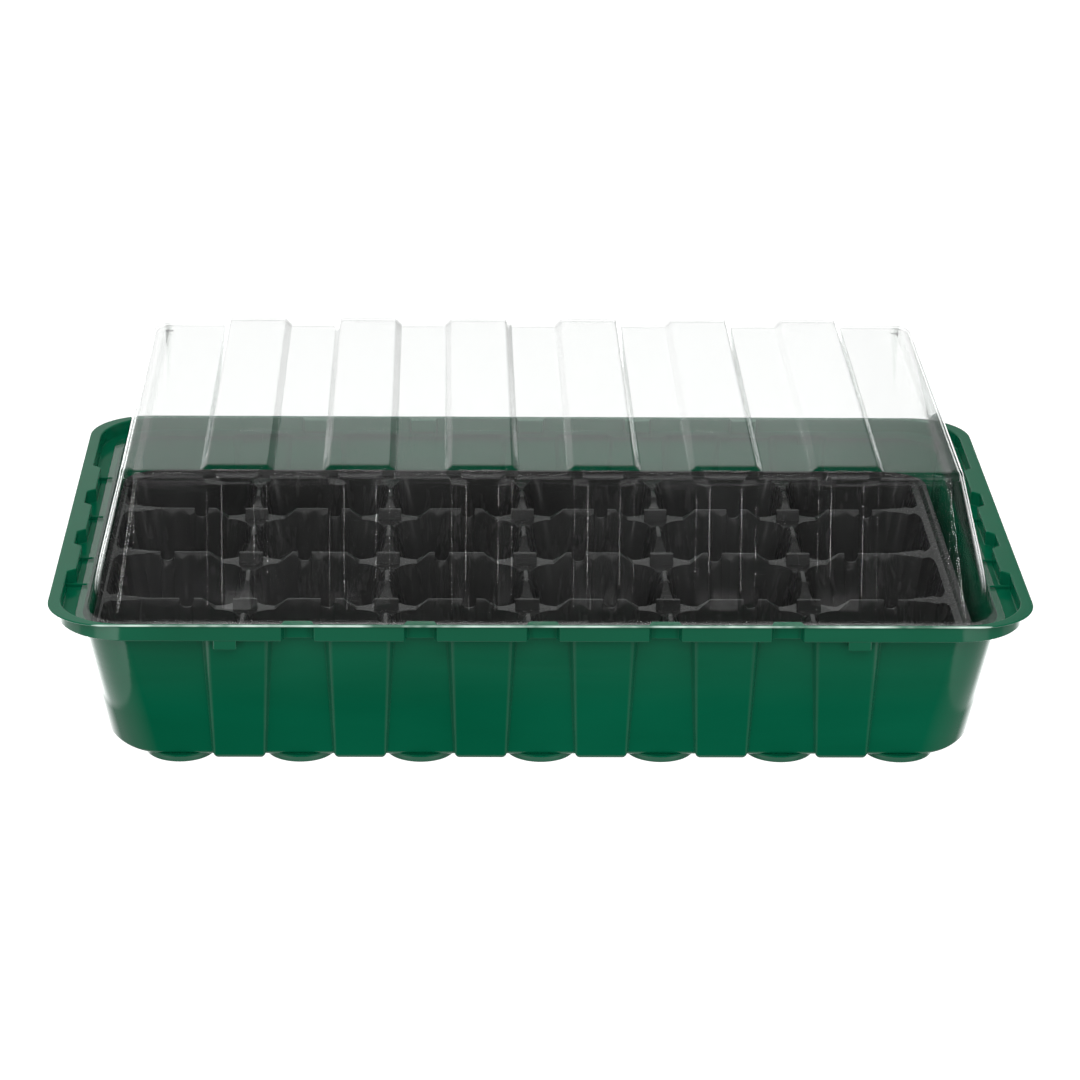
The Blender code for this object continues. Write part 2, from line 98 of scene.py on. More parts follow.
# Insert
SHEET = 0.8
INSERT_CENTRE_X = -4.5
COLUMNS = 6
ROWS = 4
INSERT_NODES = tuple(f"cell_insert_{number}" for number in range(1, COLUMNS + 1))
PITCH = (56.1, 50.6)
END_ROW = 0.77
INSERT_LEFT = 170.4
INSERT_RIGHT = 173.9
INSERT_HALF_Y = 104.6
INSERT_CORNER = 20.0
BORDER_TOP = 47.2
BORDER_STEP = 2.0
BORDER_MARGIN = 3.4
WEB_TOP = 41.0
RIDGE_TOP = 45.0
RIDGE_FLAT = (11.2, 7.2)
ROW_RIDGE_HALF = 0.45
COLUMN_RIDGE_HALF = 0.6
SLOPE_HALF = 1.0
WEB_HALF = 2.3
MOUTH_CORNER = 9.4
PLACE_TAPER = 0.16
TOP_LEVELS = 14
UNDER_LEVELS = 4
CELL_FLOOR_TOP = 5.6
CELL_FLOOR_HALF = (18.4, 16.0)
CELL_FLOOR_CORNER = 9.0
DRAIN_RADIUS = 4.0
FLUTE_DEPTH = 1.2
WALL_HALF = 1.1
CHAMFER = 0.75
NOTCH_DEPTH = 3.8
CELL_FILLET = 3.0
TAB_BASE = (9.8, 5.2)
TAB_TOP = (9.4, 1.3)

# Dome
DOME_SHEET = 0.8
LIP_UNDER = 56.3
LIP = (179.6, 114.2, 20.0)
DOME_BASE = (175.2, 103.5, 15.0)
DOME_EDGE = (161.8, 93.3, 8.0)
ROOF = 114.0
ROOF_ROUND = 3.6
DOME_FLUTE_RISE = 2.5
DOME_FLUTE_WALL = (12.1, 4.6)
DOME_FLUTE_ROOF = (14.35, 11.0)
DOME_STATIONS = (0.0, 0.04, 0.08, 0.12, 0.4, 0.72, 0.77, 0.82, 0.87, 0.92, 0.96, 1.0)
FLUTE_ROUND = (0.12, 0.28)
RAMP_END = 0.1
PANEL_END = 155.7
RECESS = 0.4


def between(pair, share):
    """Value a share of the way from the first number to the second."""
    return pair[0] + (pair[1] - pair[0]) * share


def sign(value):
    """-1 or 1."""
    return math.copysign(1.0, value)


def centres(count, pitch):
    """Evenly spaced positions about zero."""
    return [(index - (count - 1) / 2) * pitch for index in range(count)]


def smooth(share):
    """Smooth step from 0 to 1."""
    share = min(1.0, max(0.0, share))
    return share * share * (3 - 2 * share)


def shoulder(share):
    """Ramp with a sharp foot and a broad round shoulder."""
    return 1 - (1 - share) ** 2.2


def soft_ramp(share):
    """A straight ramp with small round ends."""
    if share < RAMP_END:
        return share * share / (2 * RAMP_END) / (1 - RAMP_END)
    if share > 1 - RAMP_END:
        return 1 - (1 - share) ** 2 / (2 * RAMP_END) / (1 - RAMP_END)
    return (share - RAMP_END / 2) / (1 - RAMP_END)


class Shell:
    """Collects points and faces of one mesh."""

    def __init__(self):
        self.points = []
        self.faces = []

    def ring(self, points):
        """Adds points and returns their indices."""
        first = len(self.points)
        self.points.extend(points)
        return list(range(first, len(self.points)))

    def band(self, low, high):
        """Quads between two closed rings of the same size."""
        size = len(low)
        for index in range(size):
            after = (index + 1) % size
            self.faces.append((low[index], low[after], high[after], high[index]))

    def stack(self, rings):
        """Joins each ring of points to the next one and returns the rings' indices."""
        added = [self.ring(points) for points in rings]
        for low, high in zip(added, added[1:]):
            self.band(low, high)
        return added

    def make(self, name, material, body, nodes, sharp=30.0, merge=0.0005):
        """The finished object: normals out, smooth shading, on its body in place of its nodes."""
        mesh = bpy.data.meshes.new(name)
        mesh.from_pydata([tuple(c * MM for c in p) for p in self.points], [], self.faces)
        mesh.materials.append(material)
        obj = bpy.data.objects.new(name, mesh)
        bpy.context.scene.collection.objects.link(obj)
        finish_mesh(mesh, sharp, merge * MM)
        weighted = obj.modifiers.new("normals", "WEIGHTED_NORMAL")
        weighted.keep_sharp = True
        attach(obj, body)
        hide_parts(*nodes)
        return obj


def finish_mesh(mesh, sharp, merge):
    """Joins points in one place, turns faces outwards and marks sharp edges."""
    work = bmesh.new()
    work.from_mesh(mesh)
    bmesh.ops.remove_doubles(work, verts=work.verts, dist=merge)
    bmesh.ops.recalc_face_normals(work, faces=work.faces)
    work.to_mesh(mesh)
    work.free()
    mesh.shade_smooth()
    mesh.set_sharp_from_angle(angle=math.radians(sharp))


def corner_arc(centre, along_x, along_y, power, start, steps):
    """Points of one rounded corner, anticlockwise from the angle start."""
    points = []
    for step in range(1, steps):
        angle = start + math.pi / 2 * step / steps
        across = math.cos(angle)
        up = math.sin(angle)
        x = centre[0] + along_x * math.copysign(abs(across) ** (2 / power), across)
        y = centre[1] + along_y * math.copysign(abs(up) ** (2 / power), up)
        points.append((x, y))
    return points


def outline(half_x, half_y, corner, side, end):
    """A closed outline, anticlockwise from the front left, with outward offsets along its sides."""
    along_x, along_y, power = corner
    inner_x = half_x - along_x
    inner_y = half_y - along_y
    side_run = [(-inner_x, 0.0)] + side + [(inner_x, 0.0)]
    end_run = [(-inner_y, 0.0)] + end + [(inner_y, 0.0)]
    steps = CORNER_STEPS
    points = [(x, -half_y - out) for x, out in side_run]
    points += corner_arc((inner_x, -inner_y), along_x, along_y, power, -math.pi / 2, steps)
    points += [(half_x + out, y) for y, out in end_run]
    points += corner_arc((inner_x, inner_y), along_x, along_y, power, 0.0, steps)
    points += [(x, half_y + out) for x, out in reversed(side_run)]
    points += corner_arc((-inner_x, inner_y), along_x, along_y, power, math.pi / 2, steps)
    points += [(-half_x - out, y) for y, out in reversed(end_run)]
    points += corner_arc((-inner_x, -inner_y), along_x, along_y, power, math.pi, steps)
    return points


# Tray


def ramp_points(depth):
    """Profile of a pilaster's side: small hollow at the foot, steep flank, broad round shoulder."""
    turn = math.radians(FLANK_ANGLE)
    foot = FOOT_SIZE * depth
    round_size = SHOULDER_SIZE * depth
    flank = (depth - (foot + round_size) * (1 - math.cos(turn))) / math.sin(turn)
    points = []
    for step in range(FOOT_STEPS + 1):
        angle = turn * step / FOOT_STEPS
        points.append((foot * math.sin(angle), foot * (1 - math.cos(angle))))
    x, out = points[-1]
    x += flank * math.cos(turn)
    out += flank * math.sin(turn)
    end = x + round_size * math.sin(turn)
    for step in range(SHOULDER_STEPS + 1):
        angle = turn * (1 - step / SHOULDER_STEPS)
        points.append((end - round_size * math.sin(angle), depth - round_size * (1 - math.cos(angle))))
    return points


def pilaster_run(half_width, depth):
    """Offsets along a long side: each pilaster rises steeply and rounds over."""
    profile = ramp_points(depth)
    run = []
    for centre in centres(PILASTERS, BAY):
        run += [(centre - half_width + x, out) for x, out in profile]
        run += [(centre + half_width - x, out) for x, out in reversed(profile)]
    return run


def end_run(gap, limit):
    """Offsets along an end: a corner pocket, the face between with two pockets, a corner pocket."""
    low = max(CORNER_POCKETS[0], -limit + 1.0)
    high = min(CORNER_POCKETS[1], limit - 1.0 - END_RAMP)
    shares = [0.0, 0.12, 0.35, 0.65, 0.88, 1.0]
    run = [(low + END_RAMP * t, -gap * soft_ramp(t)) for t in shares]
    for centre in POCKETS:
        run += [(centre - POCKET_HALF - END_RAMP * (1 - t), -gap * (1 - soft_ramp(t))) for t in shares]
        run += [(centre + POCKET_HALF + END_RAMP * t, -gap * soft_ramp(t)) for t in shares]
    run += [(high + END_RAMP * t, -gap * (1 - soft_ramp(t))) for t in shares]
    return run


def wall_ring(height, inset=0.0):
    """The tray wall's outline at a height, moved in from its outer face by inset."""
    share = (LEDGE_TOP - height) / (LEDGE_TOP - FLOOR_UNDER)
    depth = between(PILASTER_DEPTH, share)
    half_width = between(PILASTER_HALF_WIDTH, share) - inset * 0.6
    half_x = between(END_FACE, share) - inset
    half_y = between(PILASTER_FACE, share) - depth - inset
    corner = (
        between(CORNER_ALONG_X, share) - inset,
        between(CORNER_ALONG_Y, share) - inset,
        CORNER_POWER,
    )
    side = pilaster_run(half_width, depth)
    end = end_run(0.0, half_y - corner[1])
    low = max(0.0, 1 - (height - FLOOR_UNDER) / 7.0)
    ring = []
    for x, y in outline(half_x, half_y, corner, side, end):
        raised = max(0.0, abs(y) - half_y) / depth
        ring.append((x, y, height - PILASTER_DROP * raised * low))
    return ring


def skirt_ring(height, outset):
    """The notched skirt's outline, moved out from its inner face by outset."""
    side = []
    places = centres(PILASTERS, BAY)
    shares = [step / (RAMP_POINTS - 1) for step in range(RAMP_POINTS)]
    half = SIDE_NOTCH_HALF
    for centre in places:
        left = 0.0 if centre == places[0] else -SIDE_GAP_DEPTH
        right = 0.0 if centre == places[-1] else -SIDE_GAP_DEPTH
        side += [(centre - half - SKIRT_RAMP * (1 - t), left * (1 - smooth(t))) for t in shares]
        side += [(centre + half + SKIRT_RAMP * t, right * smooth(t)) for t in shares]
    corner = (SKIRT_CORNER + outset, SKIRT_CORNER + outset, 2.0)
    half_x = SKIRT_END + outset
    half_y = SKIRT_SIDE + outset
    end = end_run(END_GAP_DEPTH, half_y - corner[1])
    return [(x, y, height) for x, y in outline(half_x, half_y, corner, side, end)]


def rim_ring(height, inset):
    """The flange's plain outer outline, with the same number of points as the skirt."""
    corner = (RIM_CORNER - inset, RIM_CORNER - inset, 2.0)
    side = [(x, 0.0) for x in sorted(p[0] for p in skirt_side_places())]
    end = [(y, 0.0) for y, out in end_run(0.0, RIM_HALF[1] - RIM_CORNER)]
    half_x = RIM_HALF[0] - inset
    half_y = RIM_HALF[1] - inset
    return [(x, y, height) for x, y in outline(half_x, half_y, corner, side, end)]


def skirt_side_places():
    """Positions of the skirt's steps along a long side."""
    shares = [step / (RAMP_POINTS - 1) for step in range(RAMP_POINTS)]
    places = []
    for centre in centres(PILASTERS, BAY):
        places += [(centre - SIDE_NOTCH_HALF - SKIRT_RAMP * (1 - t), t) for t in shares]
        places += [(centre + SIDE_NOTCH_HALF + SKIRT_RAMP * t, t) for t in shares]
    return places


def quarter(steps):
    """Pairs (cos, sin) of a quarter turn."""
    return [(math.cos(math.pi / 2 * s / steps), math.sin(math.pi / 2 * s / steps)) for s in range(steps + 1)]


def floor_fillet(inset, height, radius):
    """Rings from the flat floor out and up into the wall."""
    rings = []
    for across, up in quarter(6):
        # across goes from 1 (on the floor) to 0 (on the wall)
        rings.append(wall_ring(height + radius * (1 - across), inset + radius * (1 - up)))
    return rings


def make_tray(material):
    """Outside from the floor up to the flange, then down the inside to the floor."""
    shell = Shell()
    fine = 0.6
    rings = floor_fillet(0.0, FLOOR_UNDER, FLOOR_FILLET)
    top = LEDGE_TOP - TRAY_WALL
    rings += [wall_ring(z) for z in (8.0, 12.0, 18.0, 26.0, 34.0, 42.0, 49.0, top - fine)]
    rings += [wall_ring(top - fine * (1 - s), -fine * (1 - c)) for c, s in quarter(3)[1:]]
    rings += [skirt_ring(top + fine * (1 - c), TRAY_WALL - fine * (1 - s)) for c, s in quarter(4)]
    under = RIM_TOP - FLANGE
    rings += [skirt_ring(under - fine * (1 - s), TRAY_WALL + fine * (1 - c)) for c, s in quarter(3)]
    edge = RIM_EDGE
    for step in range(9):
        angle = -math.pi / 2 + math.pi * step / 8
        rings.append(rim_ring(RIM_TOP - edge + edge * math.sin(angle), edge * (1 - math.cos(angle))))
    rings += [skirt_ring(RIM_TOP - fine * (1 - c), fine * (1 - s)) for c, s in quarter(4)]
    rings += [skirt_ring(LEDGE_TOP + fine * (1 - s), -fine * (1 - c)) for c, s in quarter(3)]
    rings += [wall_ring(LEDGE_TOP - fine * (1 - c), TRAY_WALL - fine * (1 - s)) for c, s in quarter(4)]
    rings += [wall_ring(z, TRAY_WALL) for z in (49.0, 42.0, 34.0, 26.0, 18.0, 12.0)]
    rings += reversed(floor_fillet(TRAY_WALL, FLOOR_UNDER + TRAY_WALL, FLOOR_FILLET))
    added = shell.stack(rings)
    for ring, height in ((added[0], FLOOR_UNDER), (added[-1], FLOOR_UNDER + TRAY_WALL)):
        points = [(shell.points[i][0] * 0.97, shell.points[i][1] * 0.955, height) for i in ring]
        inner = shell.ring(points)
        shell.band(ring, inner)
        shell.faces.append(tuple(inner))
    for side in (-1, 1):
        for x in centres(FEET, BAY):
            add_foot(shell, x, side * FOOT_Y)
        for x in (-TAB_X, TAB_X):
            add_tab(shell, x, side)
    for side in (-1, 1):
        for y in (-66.0, -38.0, 8.0, 54.0):
            add_ledge_rib(shell, side, y)
    return shell.make("tray_shell", material, "tray", ("base_tray",), sharp=28.0)


def add_foot(shell, x, y):
    """A shallow round foot with rounded edges."""
    profile = [(FOOT_RADIUS - 3.0, 0.0)]
    profile += [(FOOT_RADIUS - FOOT_TAPER - 1.2 * (1 - s), 1.2 * (1 - c)) for c, s in quarter(5)]
    profile += [(FOOT_RADIUS, 2.6), (FOOT_RADIUS + 0.2, 3.0), (FOOT_RADIUS + 0.2, 3.5)]
    rings = []
    for radius, height in profile:
        angles = [math.tau * index / 64 for index in range(64)]
        rings.append([(x + radius * math.cos(a), y + radius * math.sin(a), height) for a in angles])
    added = shell.stack(rings)
    shell.faces.append(tuple(added[0]))
    shell.faces.append(tuple(added[-1]))


def block(shell, x, y, sections, steps=3):
    """A solid from rounded rectangles: each section is (half x, half y, height, corner)."""
    rings = []
    for half_x, half_y, height, radius in sections:
        ring = []
        for turn, (sx, sy) in enumerate(((1, 1), (-1, 1), (-1, -1), (1, -1))):
            for step in range(steps + 1):
                angle = math.pi / 2 * (turn + step / steps)
                px = sx * (half_x - radius) + radius * math.cos(angle)
                py = sy * (half_y - radius) + radius * math.sin(angle)
                ring.append((x + px, y + py, height))
        rings.append(ring)
    added = shell.stack(rings)
    shell.faces.append(tuple(added[0]))
    shell.faces.append(tuple(added[-1]))


def add_ledge_rib(shell, side, y):
    """A low rib across the ledge at an end of the tray."""
    x = side * (END_FACE[0] + SKIRT_END) / 2
    half = (SKIRT_END - END_FACE[0]) / 2 + 0.6
    top = LEDGE_TOP + 1.4
    sections = (
        (half, 0.5, LEDGE_TOP - 0.3, 0.2),
        (half, 0.42, top - 0.2, 0.2),
        (half - 0.1, 0.2, top, 0.15),
    )
    block(shell, x, y, sections)


def add_tab(shell, x, side):
    """A small rectangular tab under the skirt, rounded at its lower edges."""
    width, depth, drop = TAB_SIZE
    y = side * (TAB_OUTER_Y + TAB_SHIFT - depth / 2)
    high = LEDGE_TOP - TRAY_WALL / 2
    sections = []
    for c, s in quarter(3):
        inset = TAB_ROUND * (1 - c)
        level = high - drop + TAB_ROUND * (1 - s)
        sections.append((width / 2 - inset, depth / 2 - inset, level, 0.75 - inset * 0.9))
    sections.reverse()
    sections.append((width / 2, depth / 2, high, 0.75))
    block(shell, x, y, sections)


# Insert


def notch_of(line):
    """(centre, half width) of the notch in a row ridge, or None at the front and back border."""
    if line in (0, ROWS):
        return None
    return (-6.1, 2.9) if line == 2 else (4.9, 2.9)


def notch_drop(place, notch):
    """How far a row ridge is cut down at a place along it."""
    if not notch:
        return 0.0
    u = abs(place - notch[0]) / notch[1]
    if u >= 1.0:
        return 0.0
    return NOTCH_DEPTH * (1 - u ** 3.2) ** 0.6


def side_places(side, line):
    """Stations along one side of a cell block: (position, share of the corner's turn)."""
    along = 0 if side in ("front", "back") else 1
    half = PITCH[along] / 2
    flat = RIDGE_FLAT[along]
    foot = half - MOUTH_CORNER - WEB_HALF
    places = []
    for step in range(6):
        turn = (1 - step / 6) * 0.5
        reach = foot + (half - foot) * math.sin(math.pi / 2 * turn) / math.sin(math.pi / 4)
        places.append((-reach, turn))
    for step in range(4):
        places.append((-(foot + (flat - foot) * step / 4), 0.0))
    notch = notch_of(line) if along == 0 else None
    flats = set(np.round(np.linspace(-flat, flat, 15 if along == 0 else 9), 3))
    if notch:
        flats = {x for x in flats if abs(x - notch[0]) > notch[1] + 0.45}
        for u in (0.0, 0.3, 0.55, 0.75, 0.88, 0.96, 1.0, 1.14):
            flats.add(round(notch[0] - u * notch[1], 3))
            flats.add(round(notch[0] + u * notch[1], 3))
    places += [(x, 0.0) for x in sorted(flats)]
    mirrored = [(-x, turn) for x, turn in reversed(places[:10])]
    places += mirrored[:-1]
    return places


def ridge_top(side, place, x, y, column, row):
    """Height of the sheet on a block's edge."""
    along = 0 if side in ("front", "back") else 1
    flat = RIDGE_FLAT[along]
    foot = PITCH[along] / 2 - MOUTH_CORNER - WEB_HALF
    line_x = column + (x > 0)
    line_y = row + (y > 0)
    crossing = 0 < line_x < COLUMNS and 0 < line_y < ROWS
    height = RIDGE_TOP
    if along == 0:
        line = row if side == "front" else row + 1
        height -= notch_drop(place, notch_of(line))
    else:
        line = column if side == "left" else column + 1
        if 0 < line < COLUMNS:
            height -= 0.35 * smooth((abs(place) - flat + 2.5) / 2.5) * (abs(place) <= flat)
    if crossing and abs(place) > flat:
        slope = (abs(place) - flat) / (foot - flat)
        return RIDGE_TOP - (RIDGE_TOP - WEB_TOP) * min(1.0, slope)
    return height


def is_border(side, column, row):
    """Whether a side of a cell lies on the grid's outer edge."""
    at_end = (side, column) in (("left", 0), ("right", COLUMNS - 1))
    at_long_side = (side, row) in (("front", 0), ("back", ROWS - 1))
    return at_end or at_long_side


def ridge_half(side, place, column, row):
    """(half width of the top, half width of the wall) at a place beside a block's edge."""
    along = 0 if side in ("front", "back") else 1
    if is_border(side, column, row):
        return 0.15, 0.45
    narrow = ROW_RIDGE_HALF if along == 0 else COLUMN_RIDGE_HALF
    flat = RIDGE_FLAT[along]
    foot = PITCH[along] / 2 - MOUTH_CORNER - WEB_HALF
    share = (abs(place) - flat) / (foot - flat)
    if share <= 0:
        return narrow, WALL_HALF
    top = narrow + (SLOPE_HALF - narrow) * smooth(share / 0.2)
    top += (WEB_HALF - SLOPE_HALF) * smooth((share - 0.4) / 0.6)
    return top, max(WALL_HALF, top + 0.3)


def flute(place, along):
    """How far the wall stands into the cell at a place: hollow flutes with sharp edges between."""
    flat = RIDGE_FLAT[along]
    if abs(place) > flat:
        return 0.0
    count = 3 if along == 0 else 2
    phase = ((place + flat) / (2 * flat / count)) % 1.0
    away = abs(phase - 0.5) * 2
    return FLUTE_DEPTH * (1 - away) ** 1.5


def side_point(side, place, half):
    """A point on a rectangle of the given half sides."""
    if side == "front":
        return place, -half[1]
    if side == "right":
        return half[0], place
    if side == "back":
        return place, half[1]
    return -half[0], place


def rounded_point(side, place, turn, half, radius):
    """The station's point on a rounded rectangle."""
    inner = (half[0] - radius, half[1] - radius)
    if turn > 0:
        angle = math.pi / 2 * turn
        near = radius * math.sin(angle)
        far = radius * math.cos(angle)
        if side in ("front", "back"):
            ydir = -1 if side == "front" else 1
            return sign(place) * (inner[0] + near), ydir * (inner[1] + far)
        xdir = -1 if side == "left" else 1
        return xdir * (inner[0] + far), sign(place) * (inner[1] + near)
    if side in ("front", "back"):
        ydir = -1 if side == "front" else 1
        return max(-inner[0], min(inner[0], place)), ydir * half[1]
    xdir = -1 if side == "left" else 1
    return xdir * half[0], max(-inner[1], min(inner[1], place))


def round_outer(x, y, margin=0.0, inset=0.0):
    """Pulls a point near one of the insert's outer corners back onto a round corner."""
    centre = ((INSERT_RIGHT if x > 0 else INSERT_LEFT) - INSERT_CORNER, INSERT_HALF_Y - INSERT_CORNER)
    over = (abs(x) - centre[0], abs(y) - centre[1])
    if over[0] <= 0 or over[1] <= 0:
        return x, y
    reach = math.hypot(*over) / (INSERT_CORNER - margin - inset)
    if reach <= 1.0:
        return x, y
    return sign(x) * (centre[0] + over[0] / reach), sign(y) * (centre[1] + over[1] / reach)


def cell_stations(row):
    """All stations round one cell, anticlockwise from the front left corner."""
    stations = []
    for side, turn in (("front", 1), ("right", 1), ("back", -1), ("left", -1)):
        line = row if side == "front" else row + 1
        places = side_places(side, line)
        if turn < 0:
            places = list(reversed(places))
            # both ends of a side are corners: keep the one this side starts from
            last = places[-1]
            first = (-last[0], last[1])
            places = [first] + places[:-1]
        stations += [(side, place, share) for place, share in places]
    return stations


def add_cell(shell, column, row):
    """One cell: ridge tops, chamfered and fluted walls, floor with a drain, and its underside."""
    cx = (column - (COLUMNS - 1) / 2) * PITCH[0]
    cy = (row - (ROWS - 1) / 2) * PITCH[1]
    block_half = (PITCH[0] / 2, PITCH[1] / 2)
    floor_off = (block_half[0] - CELL_FLOOR_HALF[0], block_half[1] - CELL_FLOOR_HALF[1])
    depth = RIDGE_TOP - CELL_FLOOR_TOP
    levels = [[] for _ in range(TOP_LEVELS)]
    under = [[] for _ in range(UNDER_LEVELS)]

    def on_wall(side, place, turn, height, extra):
        """Point of the wall at a height, pushed in from the plain wall by extra."""
        share = (RIDGE_TOP - height) / depth
        half = [h - WALL_HALF - (off - WALL_HALF) * share - extra for h, off in zip(block_half, floor_off)]
        radius = MOUTH_CORNER + (CELL_FLOOR_CORNER - MOUTH_CORNER) * share
        return rounded_point(side, place * (1 - PLACE_TAPER * share), turn, half, radius)

    for side, place, turn in cell_stations(row):
        along = 0 if side in ("front", "back") else 1
        x, y = side_point(side, place, block_half)
        z = ridge_top(side, place, x, y, column, row)
        top, wall = ridge_half(side, place, column, row)
        border = is_border(side, column, row)
        levels[0].append((*round_outer(cx + x, cy + y, BORDER_MARGIN), z))
        under[0].append((*round_outer(cx + x, cy + y, BORDER_MARGIN), z - SHEET))
        bulge = 0.0 if turn > 0 or border else flute(place, along)
        wall += bulge
        half = (block_half[0] - top, block_half[1] - top)
        px, py = rounded_point(side, place, turn, half, MOUTH_CORNER)
        levels[1].append((cx + px, cy + py, z))
        px, py = rounded_point(side, place, turn, (half[0] - 0.22, half[1] - 0.22), MOUTH_CORNER)
        levels[2].append((cx + px, cy + py, z - 0.1))
        end = z - (wall - top) / CHAMFER
        base = WALL_HALF + (floor_off[along] - WALL_HALF) * (RIDGE_TOP - end) / depth
        extra = max(wall, base if bulge == 0.0 and not border else wall) - base
        if border:
            extra = wall - base
        ox, oy = on_wall(side, place, turn, end, extra)
        levels[3].append((cx + ox, cy + oy, end))
        low = CELL_FLOOR_TOP + CELL_FILLET
        for index, t in enumerate((0.05, 0.2, 0.45, 0.72, 0.92)):
            height = end + (low - end) * t
            keep = 1 - 0.5 * t if bulge > 0 else 1 - t
            ox, oy = on_wall(side, place, turn, height, extra * keep)
            levels[4 + index].append((cx + ox, cy + oy, height))
        for index, (c, s) in enumerate(quarter(3)):
            height = CELL_FLOOR_TOP + CELL_FILLET * (1 - s)
            ox, oy = on_wall(side, place, turn, height, extra * 0.4 * (1 - s) if bulge > 0 else 0.0)
            length = math.hypot(ox, oy)
            shrink = 1 - CELL_FILLET * (1 - c) / length
            levels[9 + index].append((cx + ox * shrink, cy + oy * shrink, height))
        under_half = (block_half[0] - wall + SHEET, block_half[1] - wall + SHEET)
        px, py = rounded_point(side, place, turn, under_half, MOUTH_CORNER + SHEET)
        under[1].append((cx + px, cy + py, z - SHEET - 0.4))
        floor_half = (CELL_FLOOR_HALF[0] + SHEET, CELL_FLOOR_HALF[1] + SHEET)
        px, py = rounded_point(side, place * (1 - PLACE_TAPER), turn, floor_half, CELL_FLOOR_CORNER)
        under[2].append((cx + px, cy + py, CELL_FLOOR_TOP - SHEET))
    for px, py, pz in levels[12]:
        length = math.hypot(px - cx, py - cy)
        x = cx + (px - cx) / length * DRAIN_RADIUS
        y = cy + (py - cy) / length * DRAIN_RADIUS
        levels[13].append((x, y, CELL_FLOOR_TOP))
        under[3].append((x, y, CELL_FLOOR_TOP - SHEET))
    top_rings = shell.stack(levels)
    low_rings = shell.stack(under)
    shell.band(top_rings[-1], low_rings[-1])


def border_places():
    """Stations round the grid's outer edge, anticlockwise from the front left."""
    grid = (PITCH[0] * COLUMNS / 2, PITCH[1] * ROWS / 2)
    inner = []
    sides = (("front", COLUMNS, 0), ("right", ROWS, 1), ("back", COLUMNS, 0), ("left", ROWS, 1))
    for side, count, along in sides:
        places = []
        line = 0 if side == "front" else ROWS
        for index in range(count):
            centre = (index - (count - 1) / 2) * PITCH[along]
            places += [centre + place for place, turn in side_places(side, line)]
        if side in ("back", "left"):
            places = [-place for place in places]
        inner += [side_point(side, place, grid) for place in places]
    return inner, grid


def add_border(shell):
    """The raised border round the grid: a step up, a narrow flat, a rounded edge turned down."""
    inner, grid = border_places()

    def ring(inset, height):
        """The border's outline at a distance inside its outer edge."""
        points = []
        for x, y in inner:
            edge_x = (INSERT_RIGHT if x > 0 else INSERT_LEFT) - inset
            far = (x * edge_x / grid[0], y * (INSERT_HALF_Y - inset) / grid[1])
            points.append((*round_outer(*far, 0.0, inset), height))
        return points

    def foot(height):
        """The outline at the foot of the step."""
        return [(*round_outer(x, y, BORDER_MARGIN), height) for x, y in inner]

    def near(share, height):
        """An outline between the foot and the inner edge of the flat."""
        points = []
        for (x, y), (fx, fy, fz) in zip(inner, foot(0.0)):
            room = min((INSERT_RIGHT if x > 0 else INSERT_LEFT) - grid[0], INSERT_HALF_Y - grid[1])
            inset = max(0.4, room - BORDER_STEP)
            edge_x = (INSERT_RIGHT if x > 0 else INSERT_LEFT) - inset
            far = round_outer(x * edge_x / grid[0], y * (INSERT_HALF_Y - inset) / grid[1], 0.0, inset)
            points.append((fx + (far[0] - fx) * share, fy + (far[1] - fy) * share, height))
        return points

    rise = BORDER_TOP - RIDGE_TOP
    rings = [foot(RIDGE_TOP)]
    for share, up in ((0.3, 0.0), (0.55, 0.18), (0.75, 0.7), (0.88, 0.95), (1.0, 1.0)):
        rings.append(near(share, RIDGE_TOP + rise * up))
    for inset, drop in ((0.35, 0.02), (0.2, 0.12), (0.05, 0.3), (0.0, 0.6), (0.0, 2.2)):
        rings.append(ring(inset, BORDER_TOP - drop))
    rings.append(ring(SHEET * 0.8, BORDER_TOP - 2.2))
    rings.append(ring(SHEET * 0.8, BORDER_TOP - SHEET))
    rings.append(foot(RIDGE_TOP - SHEET))
    shell.stack(rings)


def squeeze(y):
    """Shortens the front and back rows of cells."""
    beyond = max(0.0, abs(y) - PITCH[1])
    return y - sign(y) * beyond * (1 - END_ROW)


def make_insert(material):
    """The thermoformed sheet of 24 cells."""
    shell = Shell()
    for column in range(COLUMNS):
        for row in range(ROWS):
            add_cell(shell, column, row)
    add_border(shell)
    for x in centres(COLUMNS - 1, PITCH[0]):
        for y in centres(ROWS - 1, PITCH[1]):
            base = (TAB_BASE[0] / 2, TAB_BASE[1] / 2)
            top = (TAB_TOP[0] / 2, TAB_TOP[1] / 2)
            sections = (
                (base[0], base[1], WEB_TOP - 0.3, 0.4),
                (base[0], base[1], WEB_TOP, 0.4),
                (top[0] + 0.1, top[1] + 0.35, RIDGE_TOP - 0.25, 0.4),
                (top[0], top[1] + 0.1, RIDGE_TOP - 0.05, 0.4),
                (top[0] - 0.25, top[1] - 0.15, RIDGE_TOP, 0.3),
            )
            block(shell, x, y, sections)
    shell.points = [(x + INSERT_CENTRE_X, squeeze(y), z) for x, y, z in shell.points]
    return shell.make("insert_sheet", material, "insert", INSERT_NODES, sharp=24.0)


# Dome


def flute_ramp(share):
    """A flute's side: a tight bend at the foot, a straight part and a broad round shoulder."""
    low, high = FLUTE_ROUND
    area = low / 2 + (1 - low - high) + high / 2
    if share < low:
        return share * share / (2 * low) / area
    if share > 1 - high:
        return 1 - (1 - share) ** 2 / (2 * high) / area
    return (share - low / 2) / area


